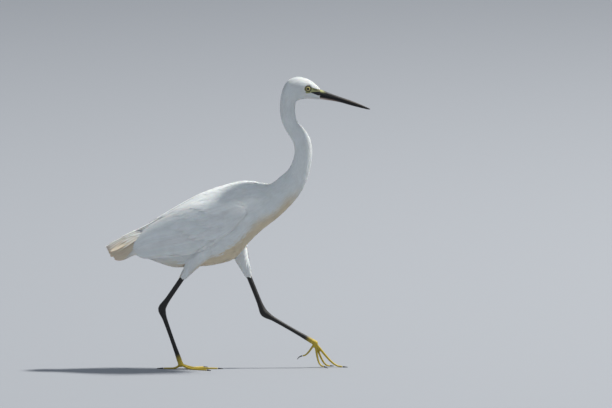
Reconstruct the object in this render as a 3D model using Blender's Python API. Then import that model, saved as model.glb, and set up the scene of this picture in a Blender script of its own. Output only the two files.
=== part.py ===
"""Little egret (Egretta garzetta), life size, in mid-stride. Metres, +Z up, +X towards the bill, +Y the bird's left.

The floor is z = 0 and the origin lies on it, midway between the bill tip and the tail tip.
The rear (right) foot stands flat and the front (left) foot reaches forward with its toe tips down.
Tables give millimetres in the side view. Each body row is a cross-section, from the undertail to the bill.
"""

import math

import bmesh
import bpy
import numpy as np
from mathutils import Vector
from mathutils.bvhtree import BVHTree

MM = 0.001
GAP = 0.3 * MM  # clearance between pieces that touch
RIGHT, LEFT = -1, 1

# Driving dimensions, in millimetres
TARSUS = 95.0  # ankle to the foot joint
FOOT_JOINT_HEIGHT = 7.6  # of the foot that stands flat
FRONT_TARSUS_DIP = 30.0  # degrees below horizontal
EYE_RADIUS = 5.5
BALL_SEGMENTS = 14
EYE_CENTRE = (112.4, 7.2, 449.8)  # the left eye; the right one mirrors it

# top x, top z, low x, low z, half width
BODY = [
    (-187, 194, -185, 188, 3.5),  # undertail tip
    (-170, 206, -168, 184, 10),  # undertail
    (-151, 220, -148, 178, 16.5),  # vent
    (-132, 235, -128, 171, 23.5),  # rump
    (-105, 255, -102, 163, 32),  # loin
    (-76, 273.5, -73, 164, 38.5),  # flank
    (-48, 286, -48, 165.5, 41),  # belly
    (-20, 295, -24, 170, 41.5),  # keel
    (4, 301, -3, 178, 39),  # breast
    (23, 301, 14, 199, 34.5),  # shoulder
    (39, 298, 36, 221, 28.5),  # collar
    (53, 297, 62, 241, 22),  # neck root
    (67, 307, 86, 264, 17),
    (80.5, 319, 103.5, 287.5, 14),
    (88.3, 333.5, 114.5, 316, 12.5),
    (91.5, 350, 119, 346, 12),  # forward bulge of the neck
    (88.5, 364, 115.5, 369.5, 11.5),
    (81, 376.5, 104.5, 386.5, 11),  # kink
    (74, 389, 95.5, 395.5, 10.6),
    (69.5, 402, 92, 406, 10.4),
    (67.5, 418, 91.3, 418.5, 10.8),  # upper neck
    (69, 436, 93, 428.5, 12),  # nape
    (73.5, 452, 98, 431.5, 13),
    (81.5, 463.5, 104, 433, 13.6),
    (94.5, 468, 110, 433.5, 13.2),  # crown
    (107.5, 466.3, 116.5, 433.5, 11.6),  # eye
    (119.5, 460.3, 124, 432.8, 8.8),  # forehead
    (131.5, 449.5, 132.5, 431.5, 6.4),  # bill root
]
BODY_NODES = {
    "trunk": (0, 10.5),
    "neck_lower": (10.5, 14.5),
    "neck_middle": (14.5, 17.5),
    "neck_upper": (17.5, 20.5),
    "head": (20.5, 27),
}
BODY_SIDES = 20
RINGS_PER_ROW = 2
EGG = 0.05  # the sections are this much wider above their middle

# x, culmen z, tomium z, gonys z, half width of the bill
BILL = [
    (132.9, 447.5, 438.6, 432.3, 5.9),
    (150.0, 441.0, 435.0, 430.0, 4.9),
    (166.0, 435.3, 431.2, 426.8, 4.1),
    (182.0, 429.9, 426.3, 422.2, 3.2),
    (197.0, 423.9, 421.2, 418.4, 2.1),
    (208.0, 418.8, 417.4, 416.0, 1.0),
    (211.6, 417.1, 416.5, 415.9, 0.5),
]

# ridge x, ridge z, half width, side drop, sweep of the corners, thickness
TAIL = [
    (-138, 227.5, 12.0, 10.0, 0.0, 7.0),
    (-152, 224.5, 15.0, 12.5, 0.5, 7.0),
    (-171, 218.5, 18.0, 15.0, 2.0, 5.0),
    (-189, 209.5, 20.0, 16.5, 5.0, 3.6),
    (-202, 202.5, 20.5, 17.0, 8.0, 2.8),
    (-211.6, 196.0, 18.5, 16.5, 10.0, 2.0),
]

TAIL_RINGS_PER_ROW = 2

# upper x, z, y, lower x, z, y, bulge, thickness
WING = [
    (-193.5, 176.5, 9.0, -194.5, 172.5, 9.5, 0.2, 1.8),  # tip of the primaries
    (-184, 188, 11.5, -185, 174, 12.5, 0.8, 2.6),
    (-171, 203, 13.0, -172, 178.5, 16.0, 2.2, 3.4),
    (-159, 217.5, 7.0, -157, 180.5, 20.5, 6.5, 4.4),
    (-146, 229.5, 1.2, -141, 182.5, 25.0, 10.5, 5.5),
    (-125, 243.5, 1.2, -117, 184, 30.5, 14.5, 6.0),
    (-102, 257.5, 6.0, -93, 186, 35.0, 14.5, 6.5),
    (-74, 265.5, 20.5, -68, 189.5, 39.0, 12.5, 7.0),
    (-44, 269.5, 29.0, -42, 204, 42.0, 8.5, 7.5),
    (-18, 272.5, 32.0, -17, 223, 42.5, 6.5, 7.5),
    (0, 272.5, 33.5, 2, 243, 41.5, 4.0, 7.0),
    (9.5, 266.5, 34.0, 10, 254, 38.5, 2.0, 5.5),
    (14, 260.5, 34.0, 14, 257.5, 35.0, 0.4, 3.0),  # front of the wrist
]
WING_STEPS = 7
WING_COVER = 2.6  # least height of the closed wing over the trunk
WING_ROOM = 0.5  # clearance round the wing, measured in the plane of its ribs
WING_RINGS_PER_ROW = 2
TIP_CUT = 3.5  # row where the primaries part from the rest of the wing

# Leg joints: x, y of the left leg, z. The legs draw in downwards, so that the feet tread near the midline.
LEGS = {
    "right": {"side": RIGHT, "knee": (-40.0, 24.0, 213.0), "bare": (-87.8, 17.5, 148.2), "ankle": (-122.5, 15.0, 97.3)},
    "left": {"side": LEFT, "knee": (-7.5, 24.0, 214.0), "bare": (17.2, 17.5, 147.4), "ankle": (41.5, 15.0, 87.0)},
}
FOOT_Y = 13.0
TIBIA_RADIUS, ANKLE_RADIUS, TARSUS_RADIUS = 4.4, 6.6, 3.6
SHANK_SIDES = 10
THIGH_ROWS = [(0.0, 15.5), (0.3, 15.0), (0.55, 12.0), (0.8, 8.2), (1.0, 5.4)]  # share of the way down, radius

# length, heading from straight ahead (+ is towards the midline), base radius, claw length
TOES = {
    "middle": (60.0, 0.0, 2.5, 8.5),
    "inner": (44.0, 33.0, 2.3, 8.0),
    "outer": (50.0, -31.0, 2.3, 7.5),
    "hind": (30.0, 172.0, 2.2, 10.5),
}
TOE_STEPS = 8
TOE_SIDES = 8
TOE_TIP = 0.66  # tip radius as a share of the base radius
TOE_FLAT = 0.72  # height of a resting toe's middle as a share of its radius; the floor cuts off the rest
FLAT_TOE = (0.5, 2)  # share of the toe that comes down to the floor, and how suddenly it levels out
REACHING_TOE = (0.97, 5)
HANGING_DIP = 55.0  # degrees below horizontal at which a lifted hind toe starts
STEEPEST_TOE = 80.0
CLAW_BASE, CLAW_TIP = 1.25, 0.4  # radii
CLAW_STEPS = 4
CLAW_SIDES = 6
CLAW_BEND, HANGING_CLAW_BEND = 9.0, 52.0  # degrees

COLOURS = {  # base colour, roughness
    "plumage": ((0.86, 0.86, 0.84, 1), 0.75),
    "bill_black": ((0.025, 0.025, 0.028, 1), 0.35),
    "leg_black": ((0.02, 0.02, 0.02, 1), 0.45),
    "toe_yellow": ((0.55, 0.42, 0.06, 1), 0.5),
    "claw_black": ((0.03, 0.028, 0.025, 1), 0.3),
    "eye": ((0.75, 0.6, 0.1, 1), 0.05),
}


helper_trees = {}


def material(name):
    found = bpy.data.materials.get(name)
    if found:
        return found
    made = bpy.data.materials.new(name)
    made.use_nodes = True
    shader = made.node_tree.nodes["Principled BSDF"]
    colour, roughness = COLOURS[name]
    shader.inputs["Base Color"].default_value = colour
    shader.inputs["Roughness"].default_value = roughness
    shader.inputs["Metallic"].default_value = 0.0
    return made


def smooth_row(rows, t):
    """The table's row at t, which counts rows from 0, on a smooth curve through them all."""
    last = len(rows) - 1
    i = min(max(int(t), 0), last - 1)
    f = t - i
    a, b = np.array(rows[i], float), np.array(rows[i + 1], float)
    before = np.array(rows[i - 1], float) if i > 0 else 2 * a - b
    after = np.array(rows[i + 2], float) if i + 2 <= last else 2 * b - a
    slope_a, slope_b = (b - before) / 2, (after - a) / 2
    return (
        a * (2 * f**3 - 3 * f**2 + 1)
        + slope_a * (f**3 - 2 * f**2 + f)
        + b * (3 * f**2 - 2 * f**3)
        + slope_b * (f**3 - f**2)
    )


def loft(name, rings, look):
    """A closed solid through rings of points in millimetres, flat at both ends.

    The two halves of a ring are split along opposite diagonals, so that a mirrored body stays mirrored.
    """
    shape = bmesh.new()
    loops = [[shape.verts.new(Vector(p) * MM) for p in ring] for ring in rings]
    for a, b in zip(loops, loops[1:]):
        count = len(a)
        for i in range(count):
            j = (i + 1) % count
            corners = (a[i], a[j], b[j], b[i])
            turn = 0 if i < count // 2 else 1
            first, second, third, fourth = corners[turn:] + corners[:turn]
            shape.faces.new((first, second, third))
            shape.faces.new((first, third, fourth))
    shape.faces.new(loops[0])
    shape.faces.new(loops[-1])
    bmesh.ops.recalc_face_normals(shape, faces=shape.faces)
    mesh = bpy.data.meshes.new(name)
    shape.to_mesh(mesh)
    shape.free()
    mesh.materials.append(material(look))
    mesh.shade_smooth()
    mesh.set_sharp_from_angle(angle=math.radians(50))
    obj = bpy.data.objects.new(name, mesh)
    bpy.context.scene.collection.objects.link(obj)
    return obj


def as_helper(obj):
    obj.hide_render = True
    obj.display_type = "WIRE"
    return obj


def combine(obj, other, operation):
    modifier = obj.modifiers.new(f"{operation.lower()} {other.name}", "BOOLEAN")
    modifier.operation = operation
    modifier.solver = "EXACT"
    modifier.object = as_helper(other)


def body_ring(t, grow=0.0):
    """The body's cross-section at row t, a slightly egg-shaped oval in the plane of its top and low points."""
    top_x, top_z, low_x, low_z, half = smooth_row(BODY, t)
    centre = Vector(((top_x + low_x) / 2, 0, (top_z + low_z) / 2))
    up = Vector(((top_x - low_x) / 2, 0, (top_z - low_z) / 2))
    up *= 1 + grow / up.length
    ring = []
    for k in range(BODY_SIDES):
        angle = 2 * math.pi * k / BODY_SIDES
        c, s = math.cos(angle), math.sin(angle)
        ring.append(centre + up * c + Vector((0, (half + grow) * s * (1 + EGG * c), 0)))
    return ring


def body_rings(first, last, grow=0.0):
    """Rings from row first to row last, each end drawn in by half a gap so that neighbours don't touch."""
    inset = GAP / MM / 2
    count = max(2, round((last - first) * RINGS_PER_ROW))
    rings = [body_ring(first + (last - first) * k / count, grow) for k in range(count + 1)]
    middles = [sum(ring, Vector()) / BODY_SIDES for ring in rings]
    for ring, towards in ((rings[0], middles[1] - middles[0]), (rings[-1], middles[-2] - middles[-1])):
        step = towards.normalized() * (inset - grow)
        ring[:] = [p + step for p in ring]
    return rings


def make_rooms():
    """The trunk and the wings, a gap larger, to be cut out of what lies against them."""
    first, last = BODY_NODES["trunk"]
    as_helper(loft("room_trunk", body_rings(first, last, GAP / MM), "plumage"))
    for word, side in (("right", RIGHT), ("left", LEFT)):
        as_helper(loft("room_wing_" + word, wing_rings(0, len(WING) - 1, side, WING_ROOM), "plumage"))


def cut_room(obj, *owners):
    for owner in owners:
        combine(obj, bpy.data.objects["room_" + owner], "DIFFERENCE")


def make_body():
    for name, (first, last) in BODY_NODES.items():
        loft(name, body_rings(first, last), "plumage")
    cut_room(bpy.data.objects["trunk"], "wing_right", "wing_left")


def bill_ring(row, upper):
    """Half of the bill's section: a round back over a flat biting edge, or the same turned over."""
    x, culmen, tomium, gonys, half = row
    edge = tomium + GAP / MM / 2 if upper else tomium - GAP / MM / 2
    crown = (culmen if upper else gonys) - edge
    ring = [Vector((x, 0, edge))]
    steps = 8
    for k in range(steps + 1):
        angle = math.pi * k / steps
        ring.append(Vector((x, half * math.cos(angle), edge + crown * math.sin(angle) ** 0.8)))
    return ring


def make_bill():
    for name, upper in (("bill_upper", True), ("bill_lower", False)):
        steps = 2 * (len(BILL) - 1)
        loft(name, [bill_ring(smooth_row(BILL, k / 2), upper) for k in range(steps + 1)], "bill_black")


def ball(name, centre, radius, look):
    shape = bmesh.new()
    bmesh.ops.create_uvsphere(shape, u_segments=BALL_SEGMENTS, v_segments=BALL_SEGMENTS // 2, radius=radius * MM)
    bmesh.ops.translate(shape, verts=shape.verts, vec=Vector(centre) * MM)
    mesh = bpy.data.meshes.new(name)
    shape.to_mesh(mesh)
    shape.free()
    mesh.materials.append(material(look))
    mesh.shade_smooth()
    obj = bpy.data.objects.new(name, mesh)
    bpy.context.scene.collection.objects.link(obj)
    return obj


def make_eyes():
    x, y, z = EYE_CENTRE
    head = bpy.data.objects["head"]
    for name, side in (("eye_right", RIGHT), ("eye_left", LEFT)):
        ball(name, (x, side * y, z), EYE_RADIUS, "eye")
        combine(head, ball(name + "_socket", (x, side * y, z), EYE_RADIUS + GAP / MM, "eye"), "DIFFERENCE")


def body_side(x, z):
    """How far the trunk, grown by the wing's cover, reaches to the side there, or 0 outside its outline."""
    tree = helper_trees.get("wing_bed")
    if tree is None:
        bed = as_helper(loft("wing_bed", body_rings(*BODY_NODES["trunk"], WING_COVER), "plumage"))
        tree = BVHTree.FromObject(bed, bpy.context.evaluated_depsgraph_get())
        helper_trees["wing_bed"] = tree
    hit = tree.ray_cast(Vector((x * MM, 1.0, z * MM)), Vector((0, -1, 0)))[0]
    return hit.y / MM if hit else 0.0


def grown(ring, by):
    """The ring with every side moved out, for a ring that lies across X and runs clockwise seen from -X."""
    count = len(ring)
    sides = [(ring[(i + 1) % count] - ring[i]).cross(Vector((-1, 0, 0))).normalized() for i in range(count)]
    moved = []
    for i in range(count):
        before, after = sides[i - 1], sides[i]
        moved.append(ring[i] + (before + after) * (by / max(1 + before.dot(after), 0.4)))
    return moved


def wing_ring(t, side, grow=0.0):
    """A rib of the folded wing: its outer face from the upper to the lower edge, and the inner face back."""
    up_x, up_z, up_y, low_x, low_z, low_y, bulge, thick = smooth_row(WING, t)
    upper, lower = Vector((up_x, up_y, up_z)), Vector((low_x, low_y, low_z))
    outer, inner = [], []
    for k in range(WING_STEPS + 1):
        f = k / WING_STEPS
        arch = math.sin(math.pi * f)
        point = upper.lerp(lower, f) + Vector((0, bulge * arch, 0))
        point.y = max(point.y, body_side(point.x, point.z) + arch)
        depth = thick * (0.35 + 0.65 * arch**0.6)
        outer.append(point)
        inner.append(Vector((point.x, max(point.y - depth, GAP / MM), point.z)))
    ring = outer + inner[::-1]
    if grow:
        ring = grown(ring, grow)
    return [Vector((p.x, side * p.y, p.z)) for p in ring]


def wing_rings(first, last, side, grow=0.0):
    inset = GAP / MM / 2 - grow
    count = round((last - first) * WING_RINGS_PER_ROW)
    rings = [wing_ring(first + (last - first) * k / count, side, grow) for k in range(count + 1)]
    for ring, ahead in ((rings[0], 1), (rings[-1], -1)):
        ring[:] = [p + Vector((ahead * inset, 0, 0)) for p in ring]
    return rings


def make_wings():
    last = len(WING) - 1
    for word, side in (("right", RIGHT), ("left", LEFT)):
        loft("wing_tip_" + word, wing_rings(0, TIP_CUT, side), "plumage")
        loft("wing_" + word, wing_rings(TIP_CUT, last, side), "plumage")


def make_tail():
    """A fan arched across like a roof, its end rounded, growing out of the rump."""
    rings = []
    steps = TAIL_RINGS_PER_ROW * (len(TAIL) - 1)
    across = [k / 5 for k in range(-5, 6)]
    for k in range(steps + 1):
        x, z, half, drop, sweep, thick = smooth_row(TAIL, k / TAIL_RINGS_PER_ROW)
        top = [Vector((x + sweep * w * w, half * w, z - drop * w * w)) for w in across]
        low = [p - Vector((0, 0, thick)) for p in reversed(top)]
        rings.append(top + low)
    cut_room(loft("tail", rings, "plumage"), "trunk", "wing_right", "wing_left")


def tube_rings(points, radii, across, sides):
    """Round rings along a path. Across is a vector that stays square to the path's plane."""
    rings = []
    for i, point in enumerate(points):
        tangent = (points[min(i + 1, len(points) - 1)] - points[max(i - 1, 0)]).normalized()
        normal = tangent.cross(across).normalized()
        side = normal.cross(tangent).normalized()
        ring = []
        for k in range(sides):
            angle = 2 * math.pi * (k + 0.5) / sides
            ring.append(point + (side * math.cos(angle) + normal * math.sin(angle)) * radii[i])
        rings.append(ring)
    return rings


def leg_points(leg):
    """Knee, bare point, ankle and foot joint of a leg."""
    side = leg["side"]
    knee, bare, ankle = (Vector((x, side * y, z)) for x, y, z in (leg["knee"], leg["bare"], leg["ankle"]))
    drop = ankle.z - FOOT_JOINT_HEIGHT if side == RIGHT else TARSUS * math.sin(math.radians(FRONT_TARSUS_DIP))
    foot = Vector((ankle.x + math.sqrt(TARSUS**2 - drop**2), side * FOOT_Y, ankle.z - drop))
    return knee, bare, ankle, foot


def shank_rows(leg):
    """Centre and radius from the end of the thigh's feathers, round the ankle, to the foot."""
    _, bare, ankle, foot = leg_points(leg)
    up, down = (bare - ankle).normalized(), (foot - ankle).normalized()
    rows = [
        (bare, TIBIA_RADIUS),
        (ankle + up * 28, TIBIA_RADIUS * 0.98),
        (ankle + up * 15, TIBIA_RADIUS * 1.08),
        (ankle + up * 7.5, ANKLE_RADIUS * 0.86),
        (ankle + (up + down) * 1.2, ANKLE_RADIUS),
        (ankle + down * 7.5, ANKLE_RADIUS * 0.86),
        (ankle + down * 16, TARSUS_RADIUS * 1.15),
        (ankle + down * 34, TARSUS_RADIUS),
        (ankle.lerp(foot, 0.7), TARSUS_RADIUS),
        (foot - down * 7, TARSUS_RADIUS * 1.25),
    ]
    return [(*centre, radius) for centre, radius in rows]


def shank_rings(leg):
    """Rings of the tibia and of the tarsus, which part at the middle of the ankle."""
    rows = shank_rows(leg)
    per_row, ankle_row = 2, 4
    samples = [smooth_row(rows, k / per_row) for k in range(per_row * (len(rows) - 1) + 1)]
    points = [Vector(row[:3]) for row in samples]
    split = ankle_row * per_row
    rings = tube_rings(points, [row[3] for row in samples], Vector((0, 1, 0)), SHANK_SIDES)
    along = (points[split + 1] - points[split - 1]).normalized() * (GAP / MM / 2)
    tibia, tarsus = rings[: split + 1], rings[split:]
    tibia[-1] = [p - along for p in rings[split]]
    tarsus[0] = [p + along for p in rings[split]]
    return tibia, tarsus


def make_thigh(word, leg):
    """The feathered part of the leg, cut off where it enters the body and butted on the bare shank."""
    knee, bare, _, _ = leg_points(leg)
    end = bare + (knee - bare).normalized() * (GAP / MM)
    steps = 10
    samples = [smooth_row(THIGH_ROWS, k * (len(THIGH_ROWS) - 1) / steps) for k in range(steps + 1)]
    points = [knee.lerp(end, float(share)) for share, _ in samples]
    thigh = loft("thigh_" + word, tube_rings(points, [r for _, r in samples], Vector((0, 1, 0)), 16), "plumage")
    cut_room(thigh, "trunk", "wing_" + word)


def toe_path(joint, heading, length, landing, dip):
    """Points of a toe that leaves the foot joint at an angle below horizontal and levels out."""
    share_down, suddenness = landing
    ahead = Vector((math.cos(heading), math.sin(heading), 0))
    points = [joint.copy()]
    for k in range(TOE_STEPS):
        share = (k + 0.5) / TOE_STEPS
        angle = dip * max(0.0, 1 - (share / share_down) ** suddenness)
        step = ahead * math.cos(angle) - Vector((0, 0, math.sin(angle)))
        points.append(points[-1] + step * (length / TOE_STEPS))
    return points


def toe_to_floor(joint, heading, length, landing, end_height):
    """The toe whose end lies at the height given, or as near it as the steepest angle brings it."""
    low, high = 0.0, math.radians(STEEPEST_TOE)
    for _ in range(30):
        middle = (low + high) / 2
        if toe_path(joint, heading, length, landing, middle)[-1].z < end_height:
            high = middle
        else:
            low = middle
    return toe_path(joint, heading, length, landing, low)


def make_foot(word, leg):
    """Four toes on a hub, united and cut flat at the floor, with a claw on each."""
    _, _, ankle, joint = leg_points(leg)
    down = (joint - ankle).normalized()
    neck = [joint - down * (7 - GAP / MM), joint - down * 3, joint]
    foot = loft("foot_" + word, tube_rings(neck, [4.0, 4.4, 4.0], Vector((0, 1, 0)), SHANK_SIDES), "toe_yellow")
    combine(foot, ball("hub_" + word, joint, 4.6, "toe_yellow"), "UNION")
    flat = leg["side"] == RIGHT
    for toe, (length, turn, radius, claw_length) in TOES.items():
        heading = -leg["side"] * math.radians(turn)
        if toe == "hind" and not flat:
            points = toe_path(joint, heading, length, REACHING_TOE, math.radians(HANGING_DIP))
        else:
            landing = FLAT_TOE if flat else REACHING_TOE
            points = toe_to_floor(joint, heading, length, landing, TOE_FLAT * radius * TOE_TIP)
        radii = [radius * (1 - (1 - TOE_TIP) * k / TOE_STEPS) for k in range(TOE_STEPS + 1)]
        across = Vector((-math.sin(heading), math.cos(heading), 0))
        rings = tube_rings(points, radii, across, TOE_SIDES)
        combine(foot, loft(f"toe_{word}_{toe}", rings, "toe_yellow"), "UNION")
        make_claw(f"claw_{word}_{toe}", points, heading, claw_length, across)
    cut_at_floor(foot, word, joint)


def make_claw(name, toe, heading, length, across):
    """A tapering hook that goes on from the toe's end and bends down to the floor."""
    last = (toe[-1] - toe[-2]).normalized()
    dip = math.asin(max(-1.0, min(1.0, -last.z)))
    ahead = Vector((math.cos(heading), math.sin(heading), 0))
    bend = math.radians(HANGING_CLAW_BEND if toe[-1].z > FOOT_JOINT_HEIGHT else CLAW_BEND)
    points = [toe[-1] + last * (GAP / MM)]
    for k in range(CLAW_STEPS):
        angle = dip + bend * (k + 0.5) / CLAW_STEPS
        step = (ahead * math.cos(angle) - Vector((0, 0, math.sin(angle)))) * (length / CLAW_STEPS)
        points.append(points[-1] + step)
    radii = [CLAW_BASE + (CLAW_TIP - CLAW_BASE) * k / CLAW_STEPS for k in range(CLAW_STEPS + 1)]
    for point, radius in zip(points, radii):
        point.z = max(point.z, radius)
    loft(name, tube_rings(points, radii, across, CLAW_SIDES), "claw_black")


def cut_at_floor(foot, word, joint):
    reach, depth = 90, 20
    corners = [(-reach, -reach), (reach, -reach), (reach, reach), (-reach, reach)]
    rings = [[Vector((joint.x + x, joint.y + y, z)) for x, y in corners] for z in (-depth, 0)]
    combine(foot, loft("floor_" + word, rings, "toe_yellow"), "DIFFERENCE")


def make_legs():
    for word, leg in LEGS.items():
        tibia, tarsus = shank_rings(leg)
        make_thigh(word, leg)
        loft("tibia_" + word, tibia, "leg_black")
        loft("tarsus_" + word, tarsus, "leg_black")
        make_foot(word, leg)


def main():
    for old in list(bpy.data.objects):
        bpy.data.objects.remove(old)
    make_rooms()
    make_body()
    make_bill()
    make_eyes()
    make_tail()
    make_wings()
    make_legs()


main()
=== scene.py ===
"""Little egret, a still life-size model: one skin, its feathers, bill, eyes and claws, in a plain studio."""
import math
from contextlib import contextmanager

import bmesh
import bpy
import numpy as np
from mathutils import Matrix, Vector
from mathutils.bvhtree import BVHTree


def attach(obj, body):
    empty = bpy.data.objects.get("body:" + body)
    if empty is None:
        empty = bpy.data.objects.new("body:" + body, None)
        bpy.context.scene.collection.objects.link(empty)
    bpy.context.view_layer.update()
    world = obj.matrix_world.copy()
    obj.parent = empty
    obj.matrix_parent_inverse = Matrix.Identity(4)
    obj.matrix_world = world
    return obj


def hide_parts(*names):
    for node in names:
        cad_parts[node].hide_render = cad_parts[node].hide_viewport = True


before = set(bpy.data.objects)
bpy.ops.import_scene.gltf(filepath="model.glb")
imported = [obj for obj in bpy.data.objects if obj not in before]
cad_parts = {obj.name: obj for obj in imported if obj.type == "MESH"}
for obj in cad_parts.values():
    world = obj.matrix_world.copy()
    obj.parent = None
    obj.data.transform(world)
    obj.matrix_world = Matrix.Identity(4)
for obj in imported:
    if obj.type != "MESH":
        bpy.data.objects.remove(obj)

MM = 0.001
RIGHT, LEFT = -1, 1
SIDES = (("right", RIGHT), ("left", LEFT))
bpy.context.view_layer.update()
dice = np.random.default_rng(11)

# Measures are in millimetres unless a name says otherwise.
PHOTO_WIDTH, PHOTO_HEIGHT = 612, 408  # pixels
MM_PER_PIXEL = 1.6
PHOTO_ORIGIN = (237.8, 368.5)  # where the model's origin falls in the photograph
CAMERA_DISTANCE = 16500.0
CAMERA_ELEVATION = 5.0  # degrees
SENSOR = 36.0

# The body's middle line in the side view, from the bill's root to the tail's end
AXIS = [
    (132, 440), (122, 446.5), (112, 450), (102, 450.8), (93, 448.3), (85.8, 441.8), (81, 432.3),
    (79.4, 418.3), (80.8, 404), (85, 392.3), (93, 381.5), (102, 366.8), (105.3, 348), (101.4, 324.8),
    (92, 303.3), (76.5, 285.5), (57.5, 269), (37.5, 259.5), (18.5, 250), (0.5, 239.5), (-22, 232.5),
    (-48, 225.8), (-74.5, 218.8), (-103.5, 209), (-130, 203), (-149.5, 199), (-175, 196), (-212, 190),
]
# x, z of the trunk's lower outline in the side view
KEEL = [
    (-148, 178), (-128, 171), (-102, 163), (-73, 164), (-48, 165.5), (-24, 170), (-3, 178), (14, 199),
    (36, 221),
]
# upper x, z, lower x, z of the folded wing, from its tip to the wrist
WING = [
    (-193.5, 176.5, -194.5, 172.5), (-184, 188, -185, 174), (-171, 203, -172, 178.5),
    (-159, 217.5, -157, 180.5), (-146, 229.5, -141, 182.5), (-125, 243.5, -117, 184),
    (-102, 257.5, -93, 186), (-74, 265.5, -68, 189.5), (-44, 269.5, -42, 204), (-18, 272.5, -17, 223),
    (0, 272.5, 2, 243), (9.5, 266.5, 10, 254), (14, 260.5, 14, 257.5),
]
# ridge x, ridge z, half width, side drop, sweep of the corners
TAIL = [
    (-138, 227.5, 12.0, 10.0, 0.0), (-152, 224.5, 15.0, 12.5, 0.5), (-171, 218.5, 18.0, 15.0, 2.0),
    (-189, 209.5, 20.0, 16.5, 5.0), (-202, 202.5, 20.5, 17.0, 8.0), (-211.6, 196.0, 18.5, 16.5, 10.0),
]
# x, z where the tail's side meets the folded wing in the side view
TAIL_SIDE = [(-200, 176.5), (-184, 180.5), (-171, 195), (-159, 208), (-146, 220)]
TAIL_ARCH = 27.0  # height of the arch that the tail's sides follow
# x, culmen z, tomium z, gonys z, half width
BILL = [
    (126.0, 446.0, 440.6, 435.0, 4.6), (132.9, 447.5, 438.6, 432.3, 5.9), (150.0, 441.0, 435.0, 430.0, 4.9),
    (166.0, 435.3, 431.2, 426.8, 4.1), (182.0, 429.9, 426.3, 422.2, 3.2), (197.0, 423.9, 421.2, 418.4, 2.1),
    (208.0, 418.8, 417.4, 416.0, 1.0), (211.6, 417.1, 416.5, 415.9, 0.45),
]
# x, place along the BILL table, scale of the root of the bill inside the face
BILL_CORE = [(122.0, 0.0, 1.0), (132.9, 1.0, 0.97), (140.0, 1.5, 0.86), (150.0, 2.0, 0.7)]
BILL_SPLIT = 0.12  # half the gap between the closed halves
NOSTRIL_X, NOSTRIL_LENGTH, NOSTRIL_RISE = 143.0, 11.0, 0.42
# knee, end of the feathers, ankle, foot joint: x, y, z
LEGS = {
    RIGHT: [(-40.0, -24.0, 213.0), (-87.8, -17.5, 148.2), (-122.5, -15.0, 97.3), (-91.2, -13.0, 7.6)],
    LEFT: [(-7.5, 24.0, 214.0), (17.2, 17.5, 147.4), (41.5, 15.0, 87.0), (123.8, 13.0, 39.5)],
}
SCUTE_LENGTH = 2.1

EYE_CENTRE = (112.4, 6.9, 449.8)
EYE_RADIUS = 5.5
LID_RADIUS = 3.95
LID_LIFT = 3.1  # least height of the lid over the eye's centre
LID_WIDTH, LID_HEIGHT = 0.62, 0.42  # half of each
FACE_BACK, FACE_FRONT = 113.0, 133.0  # x of the eye and of the line where the face meets the horn
GAPE_BACK = 117.5
# z at the back of the face, and how far it falls to the horn
LORE_TOP, LORE_LOW, STREAK, GAPE = (454.2, 7.0), (444.4, 5.4), (450.2, 4.4), (443.9, 3.0)
FACE_LOW, FACE_HIGH = (100, -20, 430), (136, 20, 460)

FLESH = {
    "bare": ["tibia_right", "tibia_left", "tarsus_right", "tarsus_left"],
    "feet": ["foot_right", "foot_left"],
    "head": ["head"],
    "neck": ["neck_upper", "neck_middle", "neck_lower"],
    "trunk": ["trunk"],
    "wing": ["wing_right", "wing_left"],
    "thigh": ["thigh_right", "thigh_left"],
}
VANES_ONLY = ["tail", "wing_tip_right", "wing_tip_left"]  # nothing but feathers
GROUPS = list(FLESH) + ["vanes"]
COAT_DEPTH = {
    "bare": 0.15, "feet": 0.1, "head": 0.8, "neck": 1.2,
    "trunk": 2.0, "wing": 2.0, "thigh": 1.4, "vanes": 2.0,
}
BALD_DEPTH = 0.35
HORN_DEPTH = 1.0  # of the skin's end under the bill's horn
THIN_SHARE = 0.38  # the skin lies no deeper than this share of the body's thickness
SWELL = 0.35  # closes the clearances between the solids before they become one skin
WELD = 0.01
VOXEL = 0.85
BED_VOXEL = 1.3  # the coat's surface, on which the feathers lie
SKIN_KEPT = 0.36  # share of the skin's faces left after thinning out

# Painted shade, a buff wash on the underside and the tail (partly real soiling on the belly): where it
# starts, is full, is still full and ends, along the middle line, and twice along x
BREAST_SHADE_BAND, BELLY_SHADE_AND_SOIL_BAND, TAIL_SHADE_RAMP = (185, 230, 300, 390), (-130, -50, -10, 60), (-135, -185)
# What the folded wing lies over, and the last of the small feathers at the head, the neck and the cape
COVERED_T, COVERED_B = (5.5, 11.35), (0.22, 0.97)
NECK_X, NECK_Z, HEAD_Z = 60, 300, 418
CAPE_X, CAPE_HALF, CAPE_Z = -116, 12, 205
TRUNK_END, WING_TIP_END, WING_TIP_TOP = -176, -158, 222
RAY_START = 150.0  # well outside the body
RAY_TRIES, RAY_STEP = 14, 0.8

# Body feathers by how far along the middle line their roots are
SIZE_STOPS = [0, 14, 34, 60, 110, 170, 215, 250, 300, 360, 430, 500]
LENGTHS = [3.8, 4.6, 6.2, 8.0, 10.0, 13.0, 17.0, 23.0, 28.0, 30.0, 30.0, 30.0]
WIDTHS = [0.9, 1.0, 1.25, 1.55, 1.9, 2.4, 3.4, 5.2, 6.6, 7.0, 7.2, 7.2]
SPACINGS = [0.72, 0.78, 0.92, 1.05, 1.22, 1.45, 1.9, 2.6, 3.0, 3.1, 3.2, 3.2]
DEPTHS = [0.5, 0.55, 0.7, 0.8, 0.9, 1.0, 1.3, 1.5, 1.6, 1.6, 1.5, 1.2]
BEND_RADII = [6, 8, 13, 11, 11, 12, 16, 28, 40, 40, 40, 40]
SHANK_SIZES = (11.0, 2.6, 1.75, 0.8)  # length, width, spacing and depth at the thigh's end
EYE_SIZES = (2.8, 0.8, 0.66, 0.4)  # the same round the eye

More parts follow.
